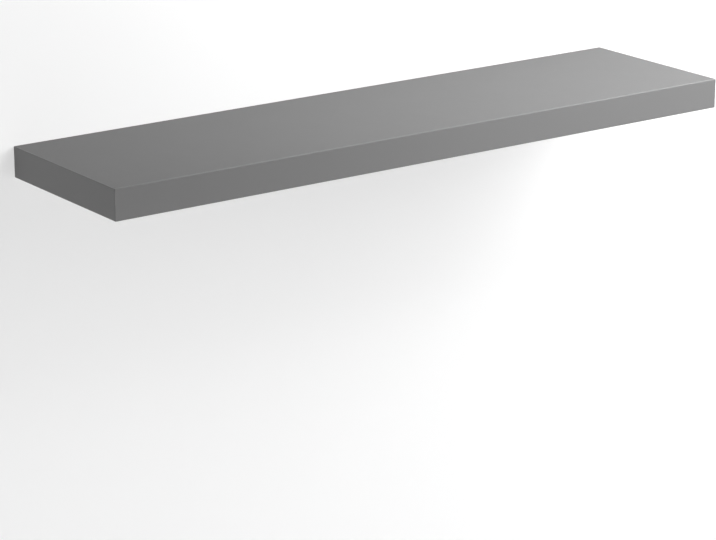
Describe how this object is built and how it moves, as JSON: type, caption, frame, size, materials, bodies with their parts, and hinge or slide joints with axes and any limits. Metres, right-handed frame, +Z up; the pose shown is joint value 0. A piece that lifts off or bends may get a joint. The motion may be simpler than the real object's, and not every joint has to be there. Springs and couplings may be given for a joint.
{
  "type": "floating wall shelf",
  "caption": "Long thick grey floating shelf: a hollow-core board with eased edges that slides onto the rods of a hidden steel wall rail and is locked from below.",
  "frame": {"origin": "middle of the wall rail's back face, on the wall, at half the shelf's thickness", "axes": "+X along the shelf to the right seen from the room, +Y into the wall, +Z up; the shelf stands out from the wall towards -Y"},
  "size_m": [1.18, 0.3, 0.05],
  "materials": {
    "grey_board": "smooth matt grey foil on thin fibreboard",
    "grey_edging": "smooth matt grey edging",
    "chipboard": "raw chipboard",
    "core_paper": "brown paper honeycomb",
    "zinc_plated_steel": "bright zinc plating",
    "screw_steel": "blackened steel",
    "brass_insert": "turned brass",
    "black_plastic": "moulded nylon"
  },
  "bodies": {
    "wall_bracket": {"wall_rail": "zinc_plated_steel", "support_rod_1": "zinc_plated_steel", "support_rod_2": "zinc_plated_steel", "support_rod_3": "zinc_plated_steel", "support_rod_4": "zinc_plated_steel"},
    "shelf_board": {"top_skin": "grey_board", "bottom_skin": "grey_board", "front_edge_band": "grey_edging", "left_edge_band": "grey_edging", "right_edge_band": "grey_edging", "front_rail": "chipboard", "left_end_rail": "chipboard", "right_end_rail": "chipboard", "rear_rail": "chipboard", "left_lock_insert": "brass_insert", "right_lock_insert": "brass_insert", "guide_block_1": "chipboard", "guide_block_2": "chipboard", "guide_block_3": "chipboard", "guide_block_4": "chipboard", "rod_sleeve_1": "black_plastic", "rod_sleeve_2": "black_plastic", "rod_sleeve_3": "black_plastic", "rod_sleeve_4": "black_plastic", "honeycomb_bay_1": "core_paper", "honeycomb_bay_2": "core_paper", "honeycomb_bay_3": "core_paper", "honeycomb_bay_4": "core_paper", "honeycomb_bay_5": "core_paper"},
    "left_lock": {"left_lock_screw": "screw_steel"},
    "right_lock": {"right_lock_screw": "screw_steel"}
  },
  "joints": [
    {"name": "shelf_slide", "type": "slide", "parent": "wall_bracket", "child": "shelf_board", "axis": [0, -1, 0], "range_m": [0, 0.21]},
    {"name": "left_lock_travel", "type": "slide", "parent": "shelf_board", "child": "left_lock", "axis": [0, 0, -1], "range_m": [0, 0.008]},
    {"name": "right_lock_travel", "type": "slide", "parent": "shelf_board", "child": "right_lock", "axis": [0, 0, -1], "range_m": [0, 0.008]}
  ]
}
